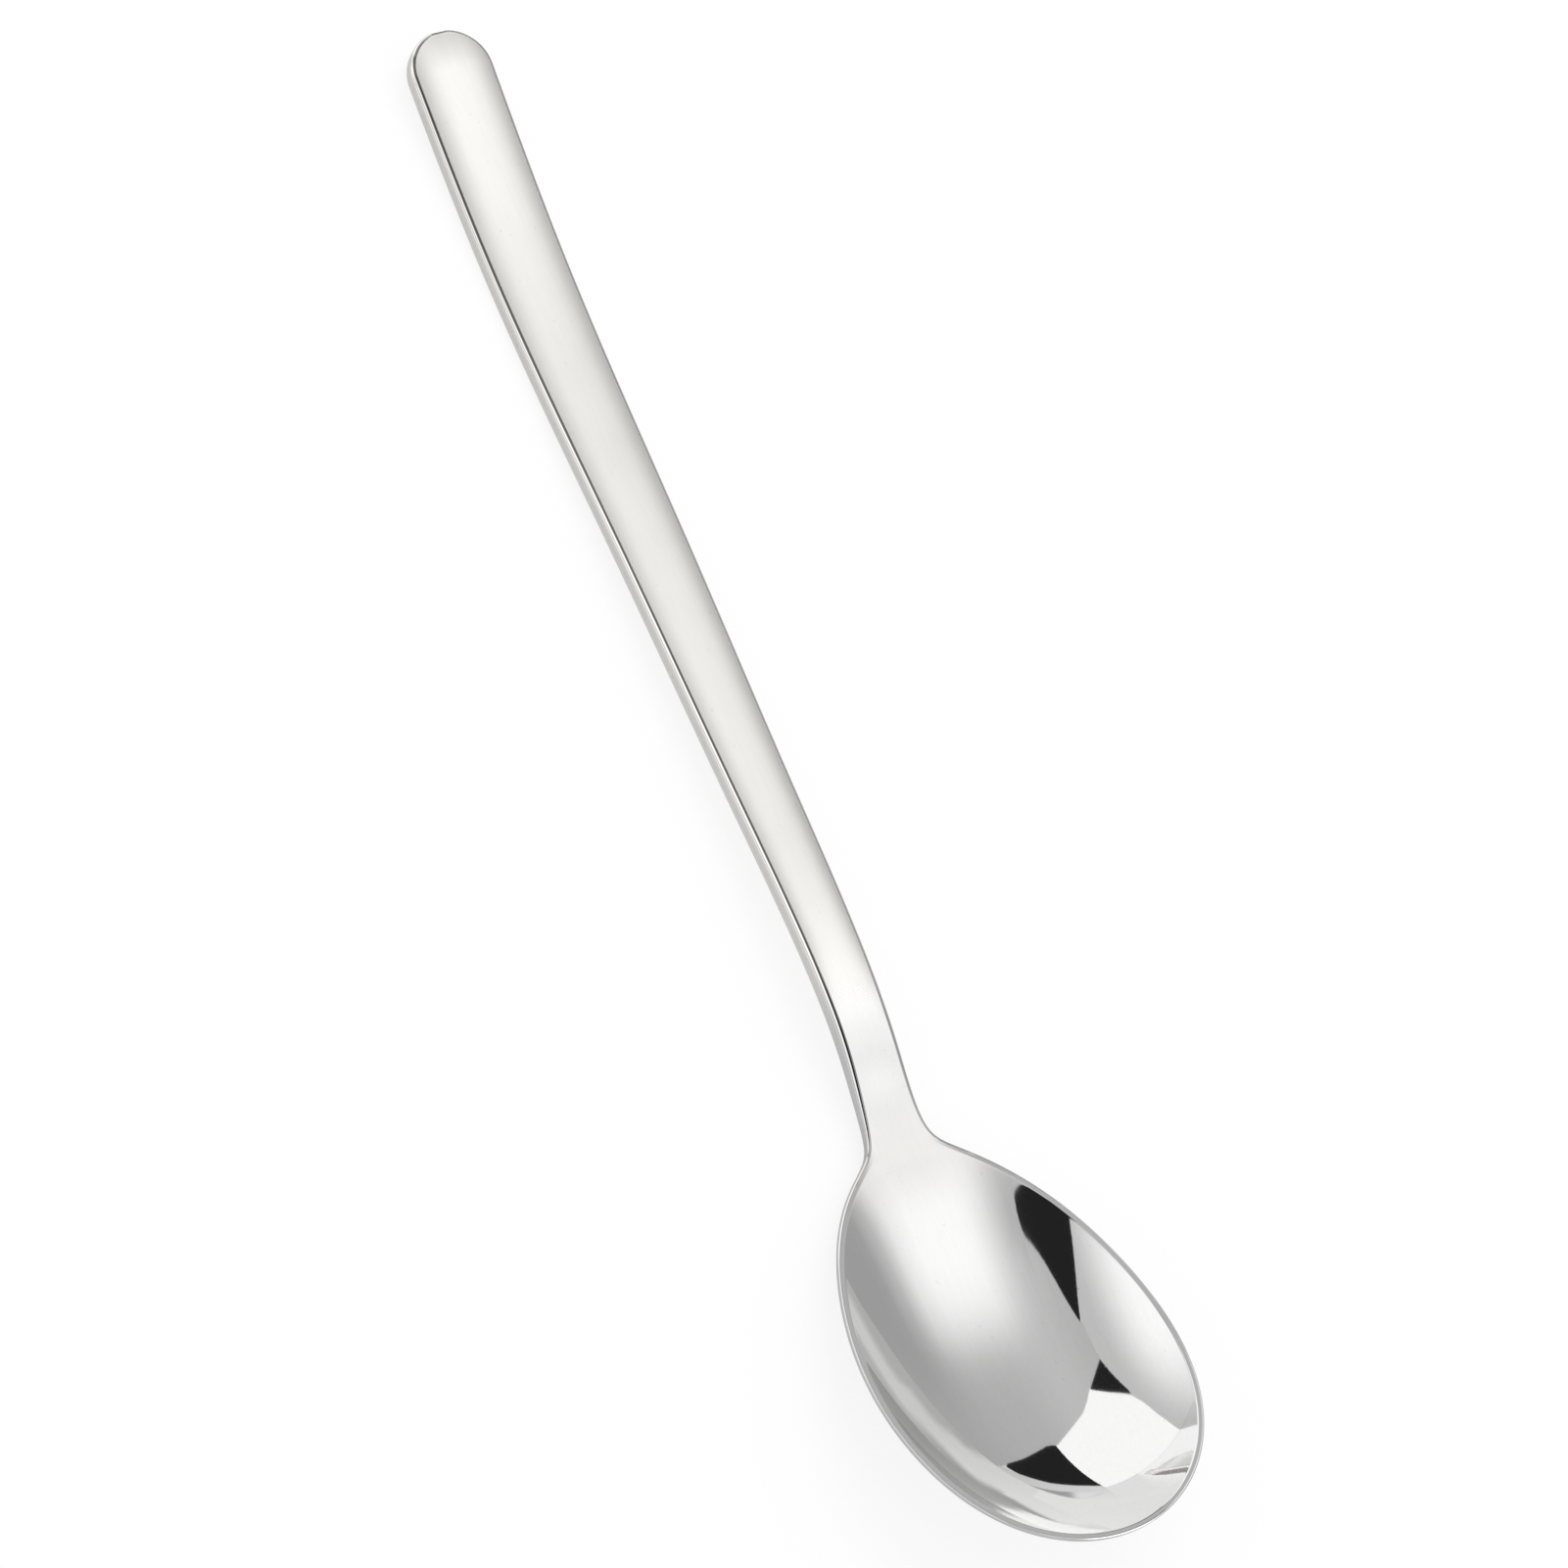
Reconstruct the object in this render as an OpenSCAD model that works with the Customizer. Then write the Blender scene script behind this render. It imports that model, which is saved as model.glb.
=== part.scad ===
// Long-handled soup spoon in polished stainless steel, lying on a table with its bowl open upward.
// The bowl's floor and the underside of the handle touch the plane z = 0.
// Stations run from the tip of the bowl, at +X, back to the rounded end of the handle, at -X.
// Bowl, neck and handle are the three stretches of one stamped bar and meet face to face.

/* [Overall] */
// Length from the tip of the bowl to the end of the handle
overall_len = 215; // [195:1:235]
// Length of the egg-shaped outline of the bowl
bowl_len = 56.5; // [52:0.5:60]
// Length of the neck, from the egg to the handle
neck_len = 35.5; // [32:0.5:40]

/* [Bowl outline] */
// Width of the egg at the middle of its length
bowl_w = 40; // [36:0.5:44]
// Share by which the egg is fuller toward the tip
fullness_share = 0.26; // [0.1:0.02:0.3]
// Size of the hollow curve where the bowl's shoulders run into the neck
shoulder = 6.2; // [5:0.1:8]

/* [Bowl section] */
// Depth of the floor below the rim, half-way along the bowl
bowl_depth = 9.6; // [8.5:0.1:11.5]
// Share by which the floor lies deeper toward the tip and shallower toward the neck
front_share = 0.45; // [0:0.05:0.55]
// Share by which the walls stand steeper and the floor lies flatter than a parabola
wall_share = 0.18; // [0:0.02:0.4]
// Width of the flat land on top of the rim
land_w = 0.75; // [0.5:0.05:1]
// Height of the ground edge round the bowl
edge_h = 0.9; // [0.7:0.05:1.2]
// Thickness of the shell at the floor, measured upright
shell_t = 1.1; // [1:0.05:1.4]
// Radius that breaks the bowl's edges
bowl_break_r = 0.18; // [0.1:0.02:0.3]

/* [Bar] */
// Height of the side faces, which is the thickness of the bar
bar_t = 3; // [2.4:0.1:3.4]
// Width of the bar where it leaves the bowl
neck_w = 6.4; // [5:0.1:7]
// Width of the handle at its rounded end
end_w = 11.3; // [9:0.1:12]
// Rise of the domed top face over its edges where the bar is widest
crown = 0.7; // [0.2:0.05:0.9]
// Hollow along the middle of the underside, so that the bar rests on its two lower edges
hollow = 0.1; // [0.05:0.05:0.3]
// Radius that rounds the bar's edges
bar_break_r = 0.8; // [0.3:0.05:0.95]

/* [Rim] */
// Rise of the rim at the tip, over a level that is the bowl's depth and its shell above the table
tip_rise = 8.3; // [7.5:0.05:9]
// Rise of the rim over the front of the bowl
front_rise = 4.1; // [3.5:0.05:5]
// Fall of the rim under that level at the middle of the bowl
middle_fall = 1.15; // [0.5:0.05:1.5]
// Fall of the rim over the back of the bowl
back_fall = 5.5; // [4.5:0.05:6]
// Fall of the low place between the bowl and the neck
dip_fall = 7.2; // [6.5:0.05:7.8]

/* [Underside of the bar, over the table] */
// Clearance where the neck climbs
climb_lift = 3.35; // [3:0.05:4.5]
// Clearance under the knee, the highest place of the neck
knee_lift = 4.85; // [4.5:0.05:6.5]
// Clearance where the handle starts
start_lift = 3.8; // [3.5:0.05:5]
// Clearance at the middle of the handle
half_way_lift = 2; // [1.5:0.05:3]
// Clearance under the rounded end of the handle
end_lift = 2.4; // [0:0.05:3]

/* [Hidden] */

half_bowl = bowl_len / 2;
half_neck_w = neck_w / 2;
end_r = end_w / 2;
end_centre = overall_len - end_r;

// Planes where the three stretches meet
neck_plane_share = 0.21;
neck_plane = bowl_len + neck_plane_share * neck_len;
handle_plane = bowl_len + neck_len;
handle_len = overall_len - handle_plane;

// Places of the side profile, as shares of the bowl, the neck and the handle
bowl_shares = [0, 0.283, 0.566, 0.832, 1.01];
neck_shares = [0.35, 0.75];
handle_shares = [0.106, 0.39, 0.73, 1];
level = bowl_depth + shell_t;
rim_z = [level + tip_rise, level + front_rise, level - middle_fall, level - back_fall, level - dip_fall];
neck_z = [bar_t + climb_lift, bar_t + knee_lift];
handle_z = [bar_t + start_lift, bar_t + half_way_lift, bar_t, bar_t + end_lift];

// Middle and softness of each change between bowl and bar, as shares of the bowl's length:
// outline, depth of the bowl, height of the edge and bow of the bar's faces
outline_shares = [0.708, 0.0708];
depth_shares = [1.02, 0.055];
edge_shares = [1.062, 0.08];
bow_shares = [1.31, 0.089];
// Place toward which the rings of the bowl close
focus_share = 0.354;
taper_from = outline_shares[0] * bowl_len;

// Step used to measure the slope of the outline
probe = 0.01;
// Step, as a share of a length, used to find the widest and the lowest place
scan_share = 0.01;
// Farthest reach of the egg's formula past its own middle, in half lengths
egg_reach_share = 1.6;

// Steps of the mesh: round the bowl, along the neck, along the handle and round its end
bowl_steps = 46;
neck_steps = 14;
bar_steps = 22;
end_steps = 9;
// Shares of the way from the centre line out to the edge, for the rings under and over the bar
under_shares = [0, 0.22, 0.42, 0.6, 0.76, 0.89];
over_shares = [0.94, 0.85, 0.73, 0.58, 0.4, 0.2, 0];
// Angles of the points that round each broken edge
break_angles = [0, 45, 90];

// Soft step from 0 to 1 along the spoon
function blend(x, shares) = 1 / (1 + exp((shares[0] * bowl_len - x) / (shares[1] * bowl_len)));
function clip(u) = min(max(u, 0), 1);
// Share that eases in and out
function ease(u) = u * u * (3 - 2 * u);
// Value that turns smoothly into zero where it would go negative
function ramp(v, soft) = (v + sqrt(v * v + soft * soft)) / 2;

// Outline, as the square of the half width at a station
function egg_sq(x) =
    let (u = min((x - half_bowl) / half_bowl, egg_reach_share))
    pow(bowl_w / 2, 2) * (1 - u * u) * (1 - fullness_share * u);
function bar_half(x) =
    let (u = clip((x - taper_from) / (end_centre - taper_from)),
         r = clip((x - end_centre) / end_r))
    (half_neck_w + (end_r - half_neck_w) * (u + ease(u)) / 2) * sqrt(1 - r * r);
function half_sq(x) =
    let (m = blend(x, outline_shares))
    m * pow(bar_half(x), 2) + ramp(egg_sq(x), m * shoulder * shoulder);
function sq_slope(x) =
    let (a = max(x - probe, 0), b = min(x + probe, overall_len))
    (half_sq(b) - half_sq(a)) / (b - a);
// The same outline moved inward by d
function inset_sq(x, d) =
    let (q = half_sq(x), s = sq_slope(x))
    q - 2 * d * sqrt(q + s * s / 4) + d * d;
widest_sq = max([for (u = [0 : scan_share : 1]) half_sq(u * bowl_len)]);

// Side profile, as a natural cubic spline through the places above
profile = concat(
    [for (i = [0 : len(rim_z) - 1]) [bowl_shares[i] * bowl_len, rim_z[i]]],
    [for (i = [0 : len(neck_z) - 1]) [bowl_len + neck_shares[i] * neck_len, neck_z[i]]],
    [for (i = [0 : len(handle_z) - 1]) [handle_plane + handle_shares[i] * handle_len, handle_z[i]]]
);
last = len(profile) - 1;
function gap(i) = profile[i + 1][0] - profile[i][0];
function grade(i) = (profile[i + 1][1] - profile[i][1]) / gap(i);
// Forward sweep of the spline's equations, with one pair of factors for each inner place
function sweep(i, pairs) =
    i == last ? pairs :
    let (before = pairs[i - 1],
         pivot = 2 * (gap(i - 1) + gap(i)) - gap(i - 1) * before[0],
         load = 6 * (grade(i) - grade(i - 1)) - gap(i - 1) * before[1])
    sweep(i + 1, concat(pairs, [[gap(i) / pivot, load / pivot]]));
factors = sweep(1, [[0, 0]]);
function bends_from(i, found) =
    i < 0 ? found : bends_from(i - 1, concat([factors[i][1] - factors[i][0] * found[0]], found));
bends = bends_from(last - 1, [0]);
function span_of(x, i = 0) = i >= last - 1 || x < profile[i + 1][0] ? i : span_of(x, i + 1);
// Height of the top of the side face at a station
function edge_z(x) =
    let (i = span_of(x), h = gap(i), a = (profile[i + 1][0] - x) / h, b = 1 - a)
    a * profile[i][1] + b * profile[i + 1][1]
    + ((pow(a, 3) - a) * bends[i] + (pow(b, 3) - b) * bends[i + 1]) * h * h / 6;

// Depth of the dish as a share, from 0 at the rim to 1 over the floor
function dish(f) = let (g = max(f, 0)) (1 + wall_share) * g - wall_share * g * g;
function depth_share(x) =
    (1 - blend(x, depth_shares)) * (1 + front_share * (half_bowl - x) / half_bowl);
function side_h(x) = edge_h + (bar_t - edge_h) * blend(x, edge_shares);
function break_r(x) = bowl_break_r + (bar_break_r - bowl_break_r) * blend(x, edge_shares);
// Bow that both the domed top and the hollow underside of the bar follow across its width,
// in proportion to that width
function bow(x, y) =
    let (past = max(x - end_centre, 0), w = sqrt(half_sq(min(x, end_centre))) - break_r(x))
    blend(x, bow_shares) * max(1 - (past * past + y * y) / (w * w), 0) * w / (end_r - bar_break_r);
// Heights of the top face and of the underside over a place in plan
function top_z(x, y) =
    edge_z(x) + crown * bow(x, y)
    - bowl_depth * depth_share(x) * dish((inset_sq(x, land_w) - y * y) / widest_sq);
function under_z(x, y) =
    edge_z(x) - side_h(x) + hollow * bow(x, y)
    - (level - edge_h) * depth_share(x) * dish((inset_sq(x, break_r(x)) - y * y) / widest_sq);
// Line of the table in side view, drawn through the lowest places of the bowl and of the handle
function foot_z(x) = min(under_z(x, 0), under_z(x, sqrt(half_sq(x)) - break_r(x)));
function lowest(from, to) =
    let (stations = [for (u = [0 : scan_share : 1]) from + u * (to - from)],
         heights = [for (x = stations) foot_z(x)],
         low = min(heights))
    [stations[search(low, heights)[0]], low];
bowl_low = lowest(end_r, bowl_len);
bar_low = lowest(handle_plane, end_centre);
table_slope = (bar_low[1] - bowl_low[1]) / (bar_low[0] - bowl_low[0]);
function table_z(x) = bowl_low[1] + table_slope * (x - bowl_low[0]);

// Point of the spoon over a place in plan, with +X toward the tip of the bowl
function place(p, z) = [overall_len / 2 - p[0], p[1], z - table_z(p[0])];
// Points from the centre line underneath, round one edge, to the centre line on top
function rib(p, out, centre) =
    let (r = break_r(p[0]), foot = p - r * out, rest = p - land_w * out)
    concat(
        [for (s = under_shares) let (q = centre + s * (foot - centre)) place(q, under_z(q[0], q[1]))],
        [for (a = break_angles)
            let (q = p - r * (1 - sin(a)) * out)
            place(q, edge_z(q[0]) - side_h(q[0]) + r * (1 - cos(a)))],
        [for (a = break_angles)
            let (q = p - r * (1 - cos(a)) * out)
            place(q, edge_z(q[0]) - r * (1 - sin(a)))],
        [for (s = concat([1], over_shares))
            let (q = centre + s * (rest - centre))
            place(q, top_z(q[0], q[1]))]
    );
rib_n = len(under_shares) + 2 * len(break_angles) + 1 + len(over_shares);

// Outward direction of the outline at a place in plan
function outward(p) = let (v = [-sq_slope(p[0]), 2 * p[1]]) v / norm(v);
function turned(face) = [for (k = [len(face) - 1 : -1 : 0]) face[k]];
// Triangles between two neighbouring ribs, given the numbers of their points
function strip(a, b) =
    [for (k = [0 : len(a) - 2], t = [[a[k], a[k + 1], b[k + 1]], [a[k], b[k + 1], b[k]]]) t];

// Stretch from an open plane, round its closed end and back along the other side.
// The stations go from the plane to the end, and centres holds each rib's place on the centre line.
module rounded_stretch(stations, centres) {
    n = len(stations) - 1;
    ribs = [for (i = [0 : 2 * n])
        let (j = min(i, 2 * n - i),
             side = i <= n ? 1 : -1,
             p = [stations[j], j == n ? 0 : side * sqrt(half_sq(stations[j]))])
        rib(p, j == 0 ? [0, side] : outward(p), [centres[j], 0])];
    // Both sides share their points on the centre line
    numbers = [for (i = [0 : 2 * n])
        [for (k = [0 : rib_n - 1]) (k == 0 || k == rib_n - 1 ? min(i, 2 * n - i) : i) * rib_n + k]];
    skin = [for (i = [0 : 2 * n - 1], f = strip(numbers[i], numbers[i + 1])) f];
    plane = concat(numbers[0], [for (k = [rib_n - 2 : -1 : 1]) numbers[2 * n][k]]);
    faces = concat(skin, [turned(plane)]);
    backward = stations[n] > stations[0];
    polyhedron([for (r = ribs, p = r) p], backward ? [for (f = faces) turned(f)] : faces, convexity = 6);
}

// Stretch between two open planes
module open_stretch(stations) {
    n = len(stations) - 1;
    loop_n = 2 * rib_n - 2;
    loops = [for (x = stations)
        let (w = sqrt(half_sq(x)),
             near = rib([x, w], [0, 1], [x, 0]),
             far = rib([x, -w], [0, -1], [x, 0]))
        concat(near, [for (k = [rib_n - 2 : -1 : 1]) far[k]])];
    numbers = [for (i = [0 : n]) [for (k = [0 : loop_n]) i * loop_n + k % loop_n]];
    skin = [for (i = [0 : n - 1], f = strip(numbers[i], numbers[i + 1])) turned(f)];
    caps = [[for (k = [0 : loop_n - 1]) k], [for (k = [loop_n - 1 : -1 : 0]) n * loop_n + k]];
    polyhedron([for (r = loops, p = r) p], concat(skin, caps), convexity = 4);
}

// Dished bowl with its flat rim land and ground edge, drawn out into the root of the neck
module bowl() {
    focus = focus_share * bowl_len;
    stations = [for (i = [0 : bowl_steps]) neck_plane * (1 + cos(180 * i / bowl_steps)) / 2];
    centres = [for (x = stations) focus + x * (neck_plane - focus) / neck_plane];
    color([0.78, 0.78, 0.79]) rounded_stretch(stations, centres);
}

// Neck that climbs from the bowl to the knee while its edge grows to the full height of the bar
module neck() {
    run = handle_plane - neck_plane;
    color([0.86, 0.86, 0.85]) open_stretch([for (i = [0 : neck_steps]) neck_plane + run * i / neck_steps]);
}

// Long tapered handle with a domed top, flat sides and a half-round end
module handle() {
    bar = [for (i = [0 : bar_steps]) handle_plane + (end_centre - handle_plane) * i / bar_steps];
    arc = [for (i = [1 : end_steps]) end_centre + end_r * sin(90 * i / end_steps)];
    stations = concat(bar, arc);
    color([0.84, 0.84, 0.83]) rounded_stretch(stations, [for (x = stations) min(x, end_centre)]);
}

bowl();
neck();
handle();
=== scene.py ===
# Long-handled soup spoon of polished steel, lying on a pale table in soft studio light.
# The bowl, the neck and the handle are laid out by the sizes of the spoon's own drawing, in millimetres,
# and stand in the frame in metres: +X toward the tip of the bowl, +Y across it, +Z up.
import math

import bpy
import numpy as np
from mathutils import Matrix, Vector


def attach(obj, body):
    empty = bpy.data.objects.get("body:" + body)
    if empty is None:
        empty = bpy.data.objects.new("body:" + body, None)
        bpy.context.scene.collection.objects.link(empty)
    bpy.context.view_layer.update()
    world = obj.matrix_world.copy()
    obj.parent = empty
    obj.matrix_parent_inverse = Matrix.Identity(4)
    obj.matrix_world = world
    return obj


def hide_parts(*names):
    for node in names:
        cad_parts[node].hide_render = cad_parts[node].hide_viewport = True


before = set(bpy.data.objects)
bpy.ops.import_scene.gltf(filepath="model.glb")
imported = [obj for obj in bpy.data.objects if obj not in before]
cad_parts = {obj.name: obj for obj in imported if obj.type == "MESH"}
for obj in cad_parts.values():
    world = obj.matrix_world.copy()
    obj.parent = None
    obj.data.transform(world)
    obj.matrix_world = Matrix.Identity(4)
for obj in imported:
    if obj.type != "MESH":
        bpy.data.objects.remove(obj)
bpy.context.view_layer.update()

MM = 0.001

# Overall sizes of the spoon
OVERALL_LEN = 215.0
BOWL_LEN = 56.5
NECK_LEN = 35.5
# Outline and section of the bowl
BOWL_W = 40.0
FULLNESS_SHARE = 0.26
SHOULDER = 6.2
BOWL_DEPTH = 9.6
FRONT_SHARE = 0.45
WALL_SHARE = 0.18
LAND_W = 0.75
EDGE_H = 0.9
SHELL_T = 1.1
BOWL_BREAK_R = 0.18
# Section of the bar
BAR_T = 3.0
NECK_W = 6.4
END_W = 11.3
CROWN = 0.7
HOLLOW = 0.1
BAR_BREAK_R = 0.8
# Heights of the rim over the bowl's level, and of the bar's underside over the table
RIM_RISES = (8.3, 4.1, -1.15, -5.5, -7.2)
NECK_LIFTS = (3.35, 4.85)
HANDLE_LIFTS = (3.8, 2.0, 0.0, 2.4)
# Where those heights lie, as shares of the bowl, the neck and the handle
BOWL_SHARES = (0.0, 0.283, 0.566, 0.832, 1.01)
NECK_SHARES = (0.35, 0.75)
HANDLE_SHARES = (0.106, 0.39, 0.73, 1.0)
# Middle and softness of each change between bowl and bar, as shares of the bowl's length
OUTLINE_SHARES = (0.708, 0.0708)
DEPTH_SHARES = (1.02, 0.055)
EDGE_SHARES = (1.062, 0.08)
BOW_SHARES = (1.31, 0.089)
FOCUS_SHARE = 0.354
EGG_REACH_SHARE = 1.6
NECK_PLANE_SHARE = 0.21
# Softness of the inner edge of the rim, as a share of the dish, and the run in which ribs turn square
LIP_SOFT_SHARE = 0.004
SQUARE_RUN = 4.0

HALF_BOWL = BOWL_LEN / 2
END_R = END_W / 2
END_CENTRE = OVERALL_LEN - END_R
NECK_PLANE = BOWL_LEN + NECK_PLANE_SHARE * NECK_LEN
HANDLE_PLANE = BOWL_LEN + NECK_LEN
HANDLE_LEN = OVERALL_LEN - HANDLE_PLANE
FOCUS = FOCUS_SHARE * BOWL_LEN
TAPER_FROM = OUTLINE_SHARES[0] * BOWL_LEN
LEVEL = BOWL_DEPTH + SHELL_T
# Number of stations looked at for the widest and for the lowest place
STATIONS = 101
# Half steps, in millimetres, over which the slopes of the outline and of the faces are measured
PROBE, FACE_PROBE = 0.01, 0.004
# Small steps along and around a sheet, between which the direction of its edges is measured
ALONG_STEP, AROUND_STEP = 2e-5, 1e-3
# Least half width squared, and least lengths that a cross product and a sum are divided by
LEAST_SQ, LEAST_CROSS, LEAST_SUM = 1e-12, 1e-20, 1e-9
# Distance, in metres, within which points of a sheet become one
WELD = 1e-8


# Outline, side profile and section
def smooth(t):
    """Soft step from 0 to 1 while t goes from 0 to 1."""
    return t * t * (3 - 2 * t)


def blend(x, shares):
    """Soft step from 0 to 1 along the spoon."""
    return 1 / (1 + np.exp((shares[0] * BOWL_LEN - x) / (shares[1] * BOWL_LEN)))


def ramp(v, soft):
    """Value that turns smoothly into zero where it would go negative."""
    return (v + np.sqrt(v * v + soft * soft)) / 2


def half_sq(x):
    """Square of the half width of the outline at a station back from the tip."""
    u = np.minimum((x - HALF_BOWL) / HALF_BOWL, EGG_REACH_SHARE)
    egg = (BOWL_W / 2) ** 2 * (1 - u * u) * (1 - FULLNESS_SHARE * u)
    t = np.clip((x - TAPER_FROM) / (END_CENTRE - TAPER_FROM), 0, 1)
    r = np.clip((x - END_CENTRE) / END_R, 0, 1)
    bar = (NECK_W / 2 + (END_R - NECK_W / 2) * (t + smooth(t)) / 2) * np.sqrt(np.maximum(1 - r * r, 0))
    m = blend(x, OUTLINE_SHARES)
    return m * bar**2 + ramp(egg, m * SHOULDER**2)


def sq_slope(x):
    """Slope of that square along the spoon."""
    a, b = np.maximum(x - PROBE, 0), np.minimum(x + PROBE, OVERALL_LEN)
    return (half_sq(b) - half_sq(a)) / (b - a)


def inset_sq(x, d):
    """Square of the half width of the outline set in by a distance."""
    q, s = half_sq(x), sq_slope(x)
    return q - 2 * d * np.sqrt(q + s * s / 4) + d * d


WIDEST_SQ = half_sq(np.linspace(0, 1, STATIONS) * BOWL_LEN).max()


def natural_spline(places, heights):
    """Natural cubic spline through the heights of the rim and of the bar."""
    n = len(places)
    h = np.diff(places)
    grade = np.diff(heights) / h
    m, load = np.eye(n), np.zeros(n)
    for i in range(1, n - 1):
        m[i, i - 1 : i + 2] = h[i - 1], 2 * (h[i - 1] + h[i]), h[i]
        load[i] = 6 * (grade[i] - grade[i - 1])
    bend = np.linalg.solve(m, load)

    def height(x):
        i = np.clip(np.searchsorted(places, x, side="right") - 1, 0, n - 2)
        a = (places[i + 1] - x) / h[i]
        b = 1 - a
        curl = (a**3 - a) * bend[i] + (b**3 - b) * bend[i + 1]
        return a * heights[i] + b * heights[i + 1] + curl * h[i] ** 2 / 6

    return height


edge_z = natural_spline(
    np.array(
        [s * BOWL_LEN for s in BOWL_SHARES]
        + [BOWL_LEN + s * NECK_LEN for s in NECK_SHARES]
        + [HANDLE_PLANE + s * HANDLE_LEN for s in HANDLE_SHARES]
    ),
    np.array([LEVEL + r for r in RIM_RISES] + [BAR_T + r for r in NECK_LIFTS + HANDLE_LIFTS]),
)


def dish(f, soft=0.0):
    """Depth of a dish as a share, where f goes from 0 at its edge to 1 in its middle."""
    g = ramp(f, soft) if soft else np.maximum(f, 0)
    return (1 + WALL_SHARE) * g - WALL_SHARE * g * g


def depth_share(x):
    return (1 - blend(x, DEPTH_SHARES)) * (1 + FRONT_SHARE * (HALF_BOWL - x) / HALF_BOWL)


def side_h(x):
    return EDGE_H + (BAR_T - EDGE_H) * blend(x, EDGE_SHARES)


def break_r(x):
    return BOWL_BREAK_R + (BAR_BREAK_R - BOWL_BREAK_R) * blend(x, EDGE_SHARES)


def bow(x, y):
    """Bow that the domed top and the hollow underside follow across the bar, in proportion to its width."""
    past = np.maximum(x - END_CENTRE, 0)
    w = np.sqrt(half_sq(np.minimum(x, END_CENTRE))) - break_r(x)
    return blend(x, BOW_SHARES) * (1 - (past * past + y * y) / (w * w)) * w / (END_R - BAR_BREAK_R)


def top_z(x, y):
    """Height of the top face over a place in plan."""
    f = (inset_sq(x, LAND_W) - y * y) / WIDEST_SQ
    return edge_z(x) + CROWN * bow(x, y) - BOWL_DEPTH * depth_share(x) * dish(f, LIP_SOFT_SHARE)


def under_z(x, y):
    """Height of the underside over a place in plan."""
    f = (inset_sq(x, break_r(x)) - y * y) / WIDEST_SQ
    hollow = HOLLOW * np.maximum(bow(x, y), 0)
    return edge_z(x) - side_h(x) + hollow - (LEVEL - EDGE_H) * depth_share(x) * dish(f)


def lowest(start, end):
    """Station and height of the lowest place underneath, between two stations."""
    x = start + np.linspace(0, 1, STATIONS) * (end - start)
    edge = np.sqrt(half_sq(x)) - break_r(x)
    z = np.minimum(under_z(x, 0 * x), under_z(x, edge))
    return x[z.argmin()], z.min()


bowl_low = lowest(END_R, BOWL_LEN)
bar_low = lowest(HANDLE_PLANE, END_CENTRE)
TABLE_SLOPE = (bar_low[1] - bowl_low[1]) / (bar_low[0] - bowl_low[0])


def table_z(x):
    """Height of the table under a station."""
    return bowl_low[1] + TABLE_SLOPE * (x - bowl_low[0])


def place(x, y, z):
    """Point of the spoon in the frame, in metres."""
    return np.stack([OVERALL_LEN / 2 - x, y, z - table_z(x)], -1) * MM


# Ribs, from the centre line underneath, round the edge, to the centre line on top
UNDER_N, BREAK_N, SIDE_N, LAND_N, TOP_N = 26, 14, 3, 5, 34
UNDER_TO = UNDER_N
LOWER_TO = UNDER_TO + BREAK_N
SIDE_TO = LOWER_TO + SIDE_N
UPPER_TO = SIDE_TO + BREAK_N
LAND_TO = UPPER_TO + LAND_N
RIB_N = LAND_TO + TOP_N
# How closely the points of the top and of the underside crowd toward the edge
CROWDING = 1.5
# Share of the upper rounded edge at which a fine dark line starts: a painted dark reflection, darkening the
# steel's colour
LINE_FROM_SHARE = 0.71
# Share by which the line gets wider toward the end of the handle, and the two stations between which it does
LINE_WIDER_SHARE = 0.12
LINE_BOLD = (140.0, 180.0)
# Share of the rounded edge over which the line comes in
LINE_SOFT_SHARE = 0.07
# Strength of the line on the far side, and the run across, in metres, in which it becomes full
LINE_FAR_SHARE = 0.5
LINE_FADE = 0.003
# Share of the handle's ribs, from the middle of its end, that go round the half circle
END_TURN = 0.16


def folded(k):
    """Number of the point on its own side of the spoon, where k goes once round."""
    return np.where(k > RIB_N, 2 * RIB_N - k, k)


def unit(v, least=0.0):
    """The same directions at length 1. A length below the least counts as the least."""
    return v / np.maximum(np.linalg.norm(v, axis=-1, keepdims=True), least)


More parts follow.
